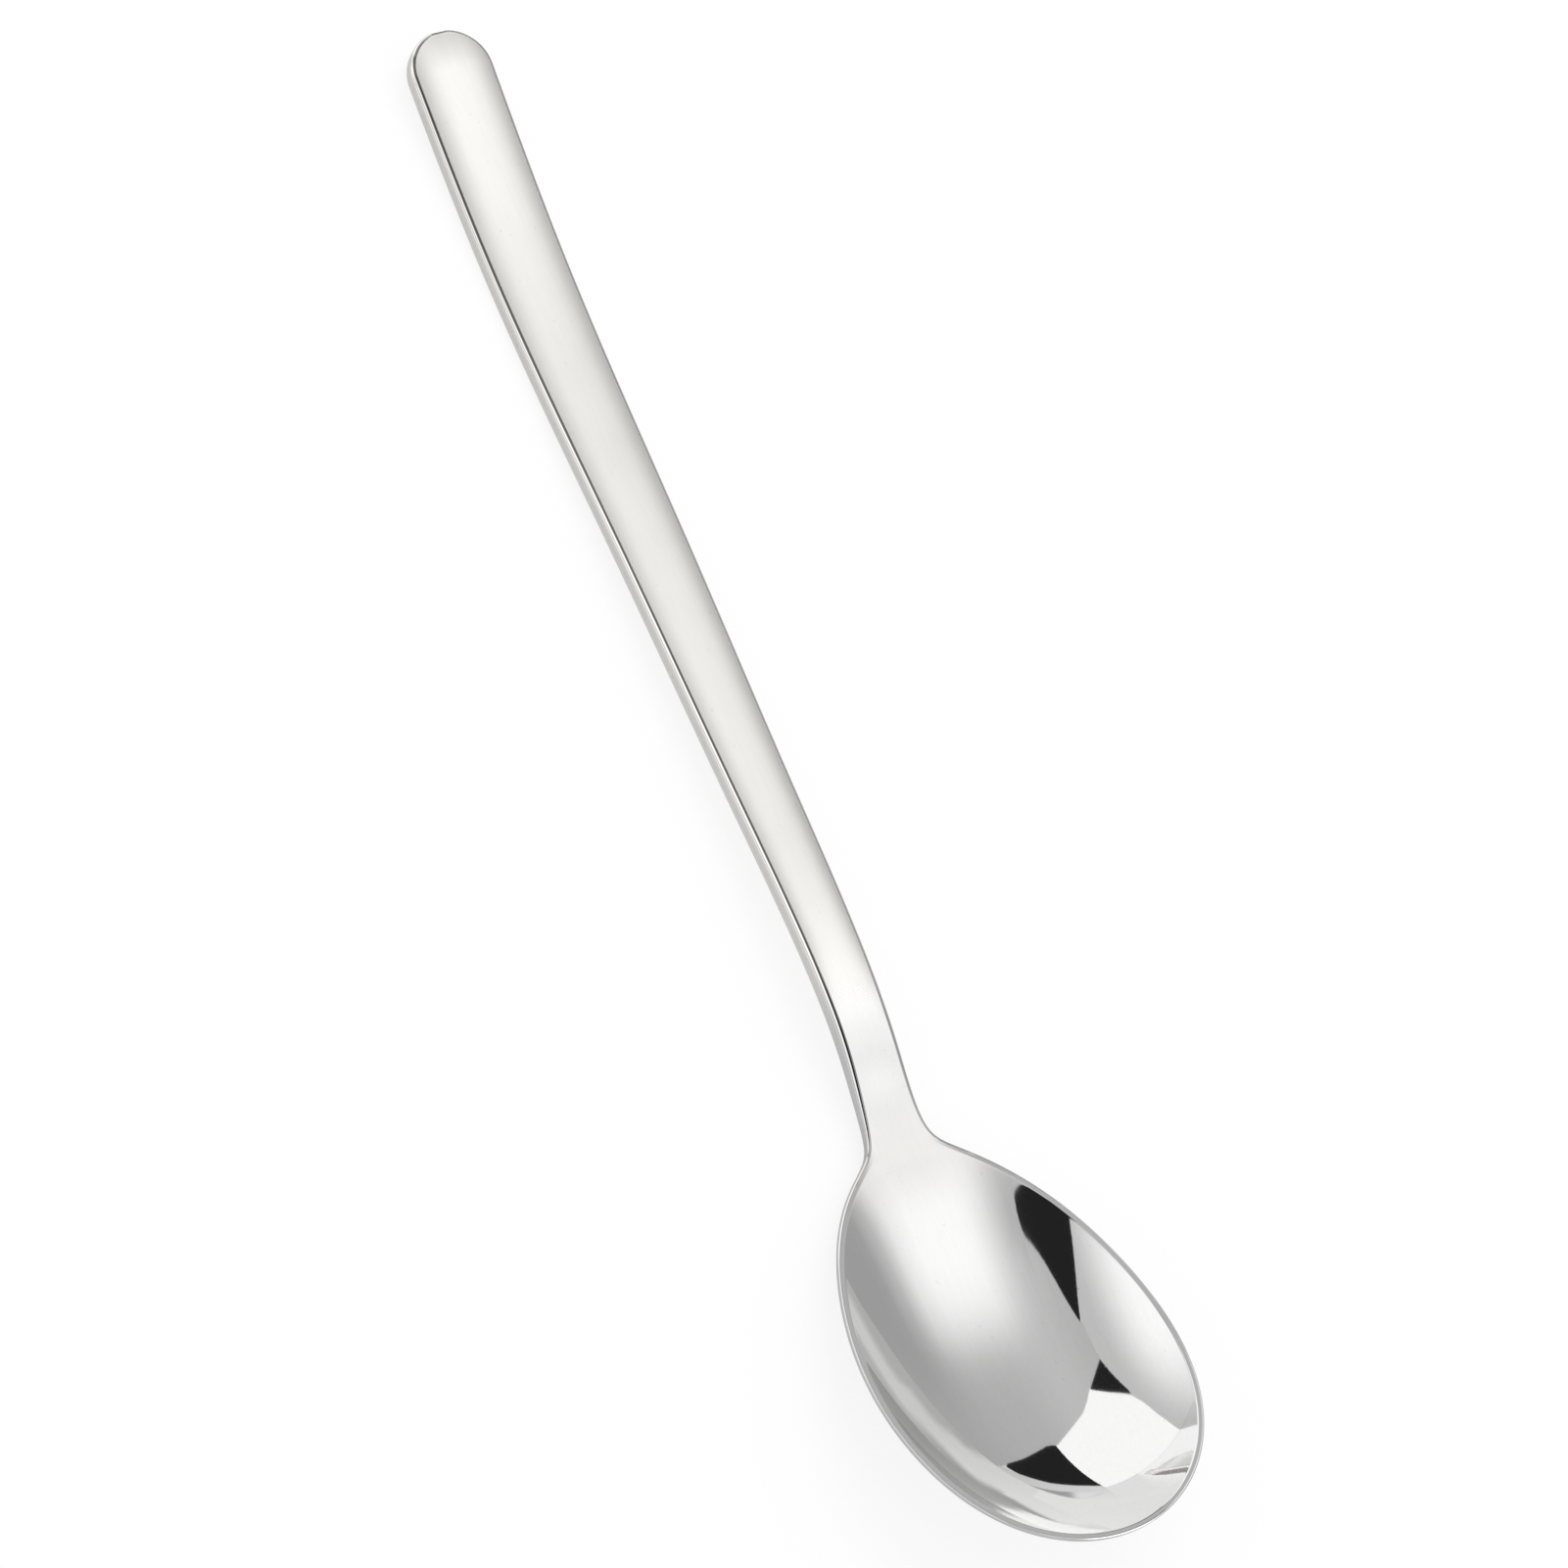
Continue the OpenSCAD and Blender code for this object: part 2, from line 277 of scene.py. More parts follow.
def rib_points(k, x, side, out, centre):
    """Place in plan and height of the rib's point number k, which need not be whole."""
    half = np.sqrt(np.maximum(half_sq(x), 0))
    p = np.stack([x, side * half], -1)
    r = break_r(x)
    tilt = math.atan(2 * CROWN / (END_R - BAR_BREAK_R)) * blend(x, BOW_SHARES)

    def at(shift):
        return p - shift[..., None] * out

    foot, rest = at(r), at(LAND_W + 0 * r)
    share_under = 1 - (1 - np.clip(k / UNDER_TO, 0, 1)) ** CROWDING
    share_top = 1 - np.clip((k - LAND_TO) / TOP_N, 0, 1) ** CROWDING
    lower = np.clip((k - UNDER_TO) / BREAK_N, 0, 1) * math.pi / 2
    upper = np.clip((k - SIDE_TO) / BREAK_N, 0, 1) * (math.pi / 2 - tilt)
    last_shift = r * (1 - np.cos(math.pi / 2 - tilt))
    land = np.clip((k - UPPER_TO) / LAND_N, 0, 1)
    level = np.clip((k - LOWER_TO) / SIDE_N, 0, 1)
    plan = np.select(
        [(k <= UNDER_TO)[..., None], (k <= LOWER_TO)[..., None], (k <= SIDE_TO)[..., None],
         (k <= UPPER_TO)[..., None], (k <= LAND_TO)[..., None]],
        [centre + share_under[..., None] * (foot - centre), at(r * (1 - np.sin(lower))), at(0 * r),
         at(r * (1 - np.cos(upper))), at(last_shift + land * (LAND_W - last_shift))],
        centre + share_top[..., None] * (rest - centre),
    )
    qx, qy = plan[..., 0], plan[..., 1]
    base, e, h = under_z(qx, qy), edge_z(qx), side_h(qx)
    height = np.select(
        [k <= UNDER_TO, k <= LOWER_TO, k <= SIDE_TO, k <= UPPER_TO],
        [base, e - h + r * (1 - np.cos(lower)), e - h + r + level * (h - 2 * r),
         e - r * (1 - np.sin(upper))],
        top_z(qx, qy),
    )
    return plan, height


def outward(x, side, square):
    """Outward direction of the outline in plan; square is 1 where the ribs lie straight across."""
    half = np.sqrt(np.maximum(half_sq(x), LEAST_SQ))
    return unit(np.stack([-sq_slope(x) * (1 - square), 2 * side * half + 0 * x], -1))


def near_plane(x, plane):
    """1 at the plane and 0 past the run in which the ribs turn square."""
    return smooth(np.clip(1 - np.abs(x - plane) / SQUARE_RUN, 0, 1))


def bowl_rib(a, k):
    """a runs from -1 at the neck, round the tip of the bowl at 0, to 1 at the neck."""
    x = NECK_PLANE * (1 - np.cos(math.pi / 2 * a))
    side = np.where(a < 0, -1.0, 1.0)
    centre = np.stack([FOCUS + x * (NECK_PLANE - FOCUS) / NECK_PLANE, 0 * x], -1)
    plan, z = rib_points(k, x, side, outward(x, side, near_plane(x, NECK_PLANE)), centre)
    return place(plan[..., 0], plan[..., 1], z)


def handle_rib(a, k):
    """a runs from -1 at the neck, round the end of the handle at 0, to 1 at the neck."""
    s = np.abs(a)
    turn = np.clip(s / END_TURN, 0, 1) * math.pi / 2
    run = np.clip((s - END_TURN) / (1 - END_TURN), 0, 1)
    x = END_CENTRE + END_R * np.cos(turn) - run * (END_CENTRE - HANDLE_PLANE)
    side = np.where(a < 0, -1.0, 1.0)
    centre = np.stack([np.minimum(x, END_CENTRE), 0 * x], -1)
    plan, z = rib_points(k, x, side, outward(x, side, near_plane(x, HANDLE_PLANE)), centre)
    return place(plan[..., 0], plan[..., 1], z)


def neck_ring(a, k):
    """a runs from -1 at the bowl to 1 at the handle; k goes once round, over RIB_N * 2."""
    x = NECK_PLANE + (a + 1) / 2 * (HANDLE_PLANE - NECK_PLANE)
    side = np.where(k > RIB_N, -1.0, 1.0)
    out = np.stack([0 * x, side], -1)
    plan, z = rib_points(folded(k), x, side, out, np.stack([x, 0 * x], -1))
    return place(plan[..., 0], plan[..., 1], z)


def lie_of(points, a, k, k_end):
    """Outward direction of the surface at each point, measured on the surface itself."""
    p = points(a, k)
    x, y = OVERALL_LEN / 2 - p[..., 0] / MM, p[..., 1] / MM
    # Top and underside: by the slope of the height over the plan
    lies = []
    for face, sign in ((under_z, -1.0), (top_z, 1.0)):
        sx = (face(x + FACE_PROBE, y) - face(x - FACE_PROBE, y)) / (2 * FACE_PROBE) - TABLE_SLOPE
        sy = (face(x, y + FACE_PROBE) - face(x, y - FACE_PROBE)) / (2 * FACE_PROBE)
        lies.append(unit(np.stack([sx, -sy, 1 + 0 * sx], -1) * sign))
    # Edges: across two directions on the surface, taken on both sides of the point
    total = np.zeros_like(p)
    for da in (-ALONG_STEP, ALONG_STEP):
        for dk in (-AROUND_STEP, AROUND_STEP):
            a2, k2 = np.clip(a + da, -1, 1), np.clip(k + dk, 0, k_end)
            n = np.cross(points(a2, k) - p, points(a, k2) - p) * np.sign(da * dk)
            total += unit(n, LEAST_CROSS)
    kk = folded(k)[..., None]
    return np.select([kk < UNDER_TO, kk > UPPER_TO], lies, unit(total, LEAST_SUM))


def values_of(items, key):
    """One row of three numbers for each of the items."""
    flat = np.zeros(len(items) * 3)
    items.foreach_get(key, flat)
    return flat.reshape(-1, 3)


def store(mesh, label, values):
    """Keeps a number for each point of the mesh, under the label."""
    mesh.attributes.new(label, "FLOAT", "POINT").data.foreach_set("value", values)


def only(piece):
    """Picks the piece alone."""
    bpy.ops.object.select_all(action="DESELECT")
    piece.select_set(True)
    bpy.context.view_layer.objects.active = piece


def laid_sheet(name, points, along, around):
    """Lays a fine sheet on the spoon's surface, closes it on the centre line and caps its open ends."""
    bpy.ops.object.select_all(action="DESELECT")
    bpy.ops.mesh.primitive_grid_add(x_subdivisions=along, y_subdivisions=around, size=2)
    piece = bpy.context.object
    piece.name = name
    mesh = piece.data
    mesh.name = name
    flat = values_of(mesh.vertices, "co")
    a = np.round((flat[:, 0] + 1) / 2 * along) * 2 / along - 1
    k = np.round((flat[:, 1] + 1) / 2 * around)
    where = points(a, k)
    mesh.vertices.foreach_set("co", where.ravel())
    lie = mesh.attributes.new("lie", "FLOAT_VECTOR", "POINT")
    lie.data.foreach_set("vector", lie_of(points, a, k, around).ravel())
    kk = folded(k)
    back = OVERALL_LEN / 2 - where[:, 0] / MM
    on_bar = blend(back, EDGE_SHARES)
    rounded = ((kk >= UNDER_TO) & (kk <= LOWER_TO)) | ((kk >= SIDE_TO) & (kk <= UPPER_TO))
    store(mesh, "edge", rounded.astype(float))
    # The side face of the bar, which the steel's colour paints brighter as a painted highlight
    store(mesh, "side", ((kk >= LOWER_TO) & (kk <= SIDE_TO)) * on_bar)
    # Painted dark reflection: a dark line along the upper rounded edge of the bar, full on the -Y side and
    # half as strong on the +Y side
    bold = np.clip((back - LINE_BOLD[0]) / (LINE_BOLD[1] - LINE_BOLD[0]), 0, 1)
    start = LINE_FROM_SHARE - LINE_WIDER_SHARE * bold
    at_line = np.clip(((kk - SIDE_TO) / BREAK_N - start) / LINE_SOFT_SHARE, 0, 1) * (kk <= UPPER_TO)
    nearer = np.clip(-where[:, 1] / LINE_FADE, 0, 1)
    store(mesh, "line", at_line * on_bar * (LINE_FAR_SHARE + (1 - LINE_FAR_SHARE) * nearer))

    only(piece)
    bpy.ops.object.mode_set(mode="EDIT")
    bpy.ops.mesh.select_mode(type="VERT")
    bpy.ops.mesh.select_all(action="SELECT")
    bpy.ops.mesh.remove_doubles(threshold=WELD)
    bpy.ops.mesh.select_all(action="DESELECT")
    bpy.ops.mesh.select_non_manifold()
    bpy.ops.mesh.edge_face_add()
    bpy.ops.mesh.select_all(action="SELECT")
    bpy.ops.mesh.normals_make_consistent(inside=False)
    bpy.ops.object.mode_set(mode="OBJECT")
    bpy.ops.object.shade_smooth()
    return piece


def finish_surface(piece):
    """Gives each point the lie of the surface, so that reflections run on without a break."""
    mesh = piece.data
    lie = values_of(mesh.attributes["lie"].data, "vector")
    normal = values_of(mesh.vertex_normals, "vector")
    lie[(lie * normal).sum(1) < 0] *= -1
    mesh.normals_split_custom_set_from_vertices([tuple(v) for v in lie])
    mesh.attributes.remove(mesh.attributes["lie"])
    mesh.update()


# Steel
# Stretch along X, in metres, over which the satin of the handle gives way to the polish of the bowl
FINISH_FROM, FINISH_TO = 0.026, 0.037
# Stretch along X, in metres, of the painted shade at the root of the bowl, slightly darker and warmer: one
# end, its middle, other end
ROOT_FROM, ROOT_MID, ROOT_TO = 0.045, 0.051, 0.060
STEEL_POLISHED = (0.756, 0.755, 0.753)
# Colour of the painted shade at the bowl's root: darker and a little warmer than the polish
STEEL_ROOT_SHADE = (0.682, 0.665, 0.652)
STEEL_SATIN = (0.912, 0.902, 0.875)
STEEL_IOR = 2.2
ROUGH_POLISHED, ROUGH_SATIN = 0.03, 0.38
# How far the lengthwise grain spreads reflections along the spoon rather than across it, from 0 to 1
SPREAD_ALONG = 0.95
# Density of the fine and the long grain along, across and up, and their shares
FINE_GRAIN, LONG_GRAIN = (90, 5200, 5200), (22, 1700, 1700)
FINE_SHARE, LONG_SHARE = 0.6, 0.4
# Density of the polishing clouds and of the specks, the same all ways
CLOUDS_SCALE, SPECKS_SCALE = 70.0, 1500.0
# Between these values of its noise a speck comes in
SPECKS_FROM, SPECKS_FULL = 0.74, 0.80
# Between these values of their noise clouds and grain act, on the roughness and on the shade
NOISE_LOW, NOISE_HIGH = 0.3, 0.7
CLOUDS_ROUGH = (0.92, 1.08)
GRAIN_SHADE = (0.985, 1.015)
# Shares by which rounded edges are smoother, the side face is painted brighter (a painted highlight), and
# specks and the painted dark reflection line are darker
EDGE_SMOOTHER, SIDE_PAINTED_BRIGHTER, SPECK_DARKER, PAINTED_LINE_DARKER = 0.8, 0.05, 0.25, 0.75
# What a speck adds to the roughness
SPECK_ROUGHER = 0.1
# Depth of the relief, in metres
RELIEF_DEPTH = 0.00002


def group(name, inputs, outputs):
    """New node group with its two end nodes."""
    tree = bpy.data.node_groups.new(name, "ShaderNodeTree")
    for label, kind, value in inputs:
        socket = tree.interface.new_socket(label, in_out="INPUT", socket_type=kind)
        if value is not None:
            socket.default_value = value
    for label, kind in outputs:
        tree.interface.new_socket(label, in_out="OUTPUT", socket_type=kind)
    return tree, tree.nodes.new("NodeGroupInput"), tree.nodes.new("NodeGroupOutput")


def node(tree, kind, **values):
    """New node, with values for its settings or, by the same names, its inputs."""
    n = tree.nodes.new(kind)
    for key, value in values.items():
        if hasattr(n, key):
            setattr(n, key, value)
        else:
            n.inputs[key].default_value = value
    return n


def math_node(tree, operation, a, b, clamp=False):
    n = tree.nodes.new("ShaderNodeMath")
    n.operation = operation
    n.use_clamp = clamp
    for i, v in enumerate((a, b)):
        if isinstance(v, (int, float)):
            n.inputs[i].default_value = v
        else:
            tree.links.new(v, n.inputs[i])
    return n.outputs[0]


def lessened(tree, mask, share):
    """1 outside the mask, and less by the share inside it."""
    return math_node(tree, "SUBTRACT", 1.0, math_node(tree, "MULTIPLY", mask, share))


def noise(tree, vector, scale, detail, roughness):
    n = node(tree, "ShaderNodeTexNoise", Scale=scale, Detail=detail, Roughness=roughness)
    tree.links.new(vector, n.inputs["Vector"])
    return n.outputs["Fac"]


def stretched(tree, vector, scale):
    n = node(tree, "ShaderNodeMapping", Scale=scale)
    tree.links.new(vector, n.inputs["Vector"])
    return n.outputs["Vector"]


def spread(tree, value, low, high, to_low, to_high):
    """Soft change from one level to the other while the value goes from low to high."""
    n = tree.nodes.new("ShaderNodeMapRange")
    n.interpolation_type = "SMOOTHSTEP"
    tree.links.new(value, n.inputs["Value"])
    for label, v in (("From Min", low), ("From Max", high), ("To Min", to_low), ("To Max", to_high)):
        n.inputs[label].default_value = v
    return n.outputs["Result"]


def build_steel_wear():
    """Fine lengthwise grain, soft polishing clouds and tiny specks, as three masks and a height."""
    tree, inn, out = group(
        "steel_wear",
        [("Vector", "NodeSocketVector", None), ("Grain", "NodeSocketFloat", 1.0),
         ("Specks", "NodeSocketFloat", 1.0)],
        [("Grain", "NodeSocketFloat"), ("Clouds", "NodeSocketFloat"), ("Specks", "NodeSocketFloat"),
         ("Height", "NodeSocketFloat")],
    )
    v = inn.outputs["Vector"]
    fine = noise(tree, stretched(tree, v, FINE_GRAIN), 1.0, 3.0, 0.6)
    long = noise(tree, stretched(tree, v, LONG_GRAIN), 1.0, 2.0, 0.5)
    both = math_node(tree, "ADD", math_node(tree, "MULTIPLY", fine, FINE_SHARE),
                     math_node(tree, "MULTIPLY", long, LONG_SHARE))
    grain = math_node(tree, "MULTIPLY", both, inn.outputs["Grain"])
    clouds = noise(tree, v, CLOUDS_SCALE, 3.0, 0.55)
    dots = spread(tree, noise(tree, v, SPECKS_SCALE, 1.0, 0.5), SPECKS_FROM, SPECKS_FULL, 0.0, 1.0)
    specks = math_node(tree, "MULTIPLY", dots, inn.outputs["Specks"])
    height = math_node(tree, "SUBTRACT", grain, specks)
    for label, socket in (("Grain", grain), ("Clouds", clouds), ("Specks", specks), ("Height", height)):
        tree.links.new(socket, out.inputs[label])
    return tree


def build_finish_run():
    """Share of satin finish along the spoon, none in the bowl and all of it on the handle, the value that
    goes with it, and the share of the painted shade at the bowl's root."""
    tree, inn, out = group(
        "finish_run",
        [("Vector", "NodeSocketVector", None), ("Polished", "NodeSocketFloat", 0.0),
         ("Satin", "NodeSocketFloat", 1.0)],
        [("Value", "NodeSocketFloat"), ("Share", "NodeSocketFloat"), ("Painted root shade", "NodeSocketFloat")],
    )
    split = tree.nodes.new("ShaderNodeSeparateXYZ")
    tree.links.new(inn.outputs["Vector"], split.inputs[0])
    along = split.outputs["X"]
    share = spread(tree, along, FINISH_FROM, FINISH_TO, 1.0, 0.0)
    change = math_node(tree, "SUBTRACT", inn.outputs["Satin"], inn.outputs["Polished"])
    value = math_node(tree, "ADD", inn.outputs["Polished"], math_node(tree, "MULTIPLY", share, change))
    # Painted shade: the bowl's root, where the neck meets it, is darkened
    root = math_node(tree, "MULTIPLY", spread(tree, along, ROOT_FROM, ROOT_MID, 0.0, 1.0),
                     spread(tree, along, ROOT_MID, ROOT_TO, 1.0, 0.0))
    for label, socket in (("Value", value), ("Share", share), ("Painted root shade", root)):
        tree.links.new(socket, out.inputs[label])
    return tree


steel_wear = build_steel_wear()
finish_run = build_finish_run()


def steel(name, grain_amount, speck_amount, bump):
    material = bpy.data.materials.new(name)
    material.use_nodes = True
    tree = material.node_tree
    shader = tree.nodes["Principled BSDF"]
    shader.inputs["Metallic"].default_value = 1.0
    shader.inputs["IOR"].default_value = STEEL_IOR
    shader.inputs["Anisotropic"].default_value = SPREAD_ALONG
    run_along = node(tree, "ShaderNodeVectorTransform", vector_type="VECTOR", convert_from="OBJECT",
                     convert_to="WORLD", Vector=(1, 0, 0))
    tree.links.new(run_along.outputs[0], shader.inputs["Tangent"])
    at = tree.nodes.new("ShaderNodeTexCoord").outputs["Object"]
    wear = node(tree, "ShaderNodeGroup", node_tree=steel_wear)
    wear.inputs["Grain"].default_value = grain_amount
    wear.inputs["Specks"].default_value = speck_amount
    tree.links.new(at, wear.inputs["Vector"])
    run = node(tree, "ShaderNodeGroup", node_tree=finish_run)
    run.inputs["Polished"].default_value = ROUGH_POLISHED
    run.inputs["Satin"].default_value = ROUGH_SATIN
    tree.links.new(at, run.inputs["Vector"])
    edge, side, line = (
        node(tree, "ShaderNodeAttribute", attribute_name=label).outputs["Fac"]
        for label in ("edge", "side", "line")
    )
    specks = wear.outputs["Specks"]
    # Roughness: the finish of the stretch, crossed by clouds, smoother rounded edges and specks
    rough = spread(tree, wear.outputs["Clouds"], NOISE_LOW, NOISE_HIGH, *CLOUDS_ROUGH)
    rough = math_node(tree, "MULTIPLY", run.outputs["Value"], rough)
    rough = math_node(tree, "MULTIPLY", rough, lessened(tree, edge, EDGE_SMOOTHER))
    speck_rough = math_node(tree, "MULTIPLY", specks, SPECK_ROUGHER)
    rough = math_node(tree, "ADD", rough, speck_rough, clamp=True)
    tree.links.new(rough, shader.inputs["Roughness"])
    # Colour: polished to satin steel with painted shade at the bowl's root, then grain, the side face
    # painted brighter as a painted highlight, specks, and the line of painted dark reflection
    colour = None
    # The second mix lays the painted shade on the bowl's root
    for share, tone in (("Share", STEEL_SATIN), ("Painted root shade", STEEL_ROOT_SHADE)):
        mix = tree.nodes.new("ShaderNodeMix")
        mix.data_type = "RGBA"
        mix.inputs["A"].default_value = (*STEEL_POLISHED, 1)
        mix.inputs["B"].default_value = (*tone, 1)
        tree.links.new(run.outputs[share], mix.inputs["Factor"])
        if colour is not None:
            tree.links.new(colour, mix.inputs["A"])
        colour = mix.outputs["Result"]
    shade = spread(tree, wear.outputs["Grain"], NOISE_LOW * grain_amount, NOISE_HIGH * grain_amount,
                   *GRAIN_SHADE)
    # Painted highlight: the side face of the bar is made brighter in colour
    painted_side_light = math_node(tree, "ADD", 1.0, math_node(tree, "MULTIPLY", side, SIDE_PAINTED_BRIGHTER))
    shade = math_node(tree, "MULTIPLY", shade, painted_side_light)
    # The specks are marks of the steel; the line's darkening is a painted dark reflection
    for mask, darker in ((specks, SPECK_DARKER), (line, PAINTED_LINE_DARKER)):
        shade = math_node(tree, "MULTIPLY", shade, lessened(tree, mask, darker))
    tinted = tree.nodes.new("ShaderNodeVectorMath")
    tinted.operation = "SCALE"
    tree.links.new(colour, tinted.inputs[0])
    tree.links.new(shade, tinted.inputs["Scale"])
    tree.links.new(tinted.outputs[0], shader.inputs["Base Color"])
    # Relief: the grain and the specks
    relief = node(tree, "ShaderNodeBump", Strength=bump, Distance=RELIEF_DEPTH)
    tree.links.new(wear.outputs["Height"], relief.inputs["Height"])
    tree.links.new(relief.outputs["Normal"], shader.inputs["Normal"])
    return material


polished = steel("bowl_polish", 1.0, 0.35, 0.02)
satin = steel("bar_satin", 1.0, 0.4, 0.08)

# Ribs along each stretch
BOWL_RIBS, NECK_RIBS, HANDLE_RIBS = 300, 80, 260
bowl = laid_sheet("spoon_bowl", bowl_rib, BOWL_RIBS, RIB_N)
neck = laid_sheet("spoon_neck", neck_ring, NECK_RIBS, 2 * RIB_N)
handle = laid_sheet("spoon_handle", handle_rib, HANDLE_RIBS, RIB_N)
for piece, cad, finish, slot in (
    (bowl, "bowl", polished, "polished_steel"),
    (neck, "neck", satin, "satin_steel"),
    (handle, "handle", satin, "satin_steel"),
):
    finish_surface(piece)
    piece.data.materials.clear()
    piece.data.materials.append(finish)
    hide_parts(cad)
    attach(piece, "root")


# Floor, soft panels and light
FLOOR_SIZE = 24
# Hair of air between the table and the spoon, in metres
FLOOR_GAP = 0.00005
# The table to the camera: its own light, and the part that other light adds and a shadow takes away
TABLE_GLOW, TABLE_SHADED = 0.8, 0.24
# The table in the steel, looked at steeply: its own light, and the part that other light adds
TABLE_GLINT, TABLE_CLOTH = 0.27, 0.45
# The table in the steel, looked at along its surface: the sheen's roughness, its tone from one side of the
# spoon to the other, which is painted shade, darker on the +Y side, the run between them in metres, and
# where the sheen comes in
SHEEN_ROUGH = 0.05
SHEEN_PAINTED_TONES = (0.94, 0.78)
SHEEN_RUN = 0.015
SHEEN_FROM, SHEEN_FULL = 0.5, 0.72
# The table as it lights the spoon
TABLE_PLAIN = 0.8
# Place in the bowl, in metres, from which the directions of the panels are counted
BOWL_AT = np.array([0.075, 0.0, 0.01])
# Squares along each way of a panel
PANEL_N = 48
# Brightness of the overhead cloth, its bright field and its strip light, and the room's share of darkness
CLOTH_LEVEL, FIELD_LEVEL, STRIP_LEVEL, ROOM_DARKER = 0.55, 0.67, 3.1, 0.94
# Brightness of the panels at the front and on the far side, of the left panel, and of the gaps
SIDE_LEVEL, LEFT_LEVEL, GAP_LEVEL = 0.66, 1.23, 0.02
# Distances of the panels and gaps from the bowl, in metres; the nearer ones cover the farther ones
OVERHEAD_FAR, OUTER_FAR, LEFT_FAR, GAP_FAR = 8.0, 8.4, 8.2, 7.6
# Softness of the straight edges seen twice and three times over, in degrees
CRISP = 0.8


def stage_material(name):
    material = bpy.data.materials.new(name)
    material.use_nodes = True
    material.node_tree.nodes.clear()
    return material, material.node_tree


def mixed(tree, share, first, second):
    """Goes from the first to the second as the share goes from 0 to 1."""
    n = tree.nodes.new("ShaderNodeMixShader")
    for i, socket in enumerate((share, first, second)):
        tree.links.new(socket, n.inputs[i])
    return n.outputs[0]


def added(tree, first, second):
    n = tree.nodes.new("ShaderNodeAddShader")
    for i, socket in enumerate((first, second)):
        tree.links.new(socket, n.inputs[i])
    return n.outputs[0]


def end_in(tree, kind, shader):
    tree.links.new(shader, tree.nodes.new(kind).inputs["Surface"])


def seen_by(tree, *kinds):
    """1 for rays of these kinds, else 0."""
    path = tree.nodes.new("ShaderNodeLightPath")
    total = path.outputs[kinds[0]]
    for kind in kinds[1:]:
        total = math_node(tree, "MAXIMUM", total, path.outputs[kind])
    return total


def glowing(tree, strength):
    return node(tree, "ShaderNodeEmission", Strength=strength).outputs[0]


def matt(tree, level):
    return node(tree, "ShaderNodeBsdfDiffuse", Color=(level, level, level, 1)).outputs[0]


def floor_material():
    """Pale table: to the camera even white with a faint shadow, and in the steel a cloth that mirrors the
    panels where it is looked at along its surface."""
    material, tree = stage_material("pale_floor")
    to_camera = added(tree, glowing(tree, TABLE_GLOW), matt(tree, TABLE_SHADED))
    steep = added(tree, glowing(tree, TABLE_GLINT), matt(tree, TABLE_CLOTH))
    sheen = node(tree, "ShaderNodeBsdfGlossy", Roughness=SHEEN_ROUGH)
    split = tree.nodes.new("ShaderNodeSeparateXYZ")
    tree.links.new(tree.nodes.new("ShaderNodeTexCoord").outputs["Object"], split.inputs[0])
    # Painted shade: the sheen is darker on the +Y side of the spoon
    tree.links.new(spread(tree, split.outputs["Y"], 0.0, SHEEN_RUN, *SHEEN_PAINTED_TONES), sheen.inputs["Color"])
    facing = tree.nodes.new("ShaderNodeLayerWeight").outputs["Facing"]
    glancing = spread(tree, facing, SHEEN_FROM, SHEEN_FULL, 0.0, 1.0)
    in_steel = mixed(tree, glancing, steep, sheen.outputs[0])
    by_steel = seen_by(tree, "Is Glossy Ray", "Is Transmission Ray")
    unseen = mixed(tree, by_steel, matt(tree, TABLE_PLAIN), in_steel)
    above = mixed(tree, seen_by(tree, "Is Camera Ray"), unseen, to_camera)
    # Seen from below, the table lets the underside of the spoon show
    below = tree.nodes.new("ShaderNodeNewGeometry").outputs["Backfacing"]
    clear = tree.nodes.new("ShaderNodeBsdfTransparent").outputs[0]
    end_in(tree, "ShaderNodeOutputMaterial", mixed(tree, below, above, clear))
    return material


bpy.ops.object.select_all(action="DESELECT")
bpy.ops.mesh.primitive_plane_add(size=FLOOR_SIZE, location=(0, 0, -FLOOR_GAP))
floor = bpy.context.object
floor.name = "floor"
floor.data.materials.append(floor_material())


def toward(u, v, distance):
    """Point at a distance from the bowl, u and v degrees off straight up along X and Y."""
    off = np.radians(np.hypot(u, v))
    turn = np.arctan2(v, u)
    d = np.stack([np.sin(off) * np.cos(turn), np.sin(off) * np.sin(turn), np.cos(off)], -1)
    return BOWL_AT + d * distance


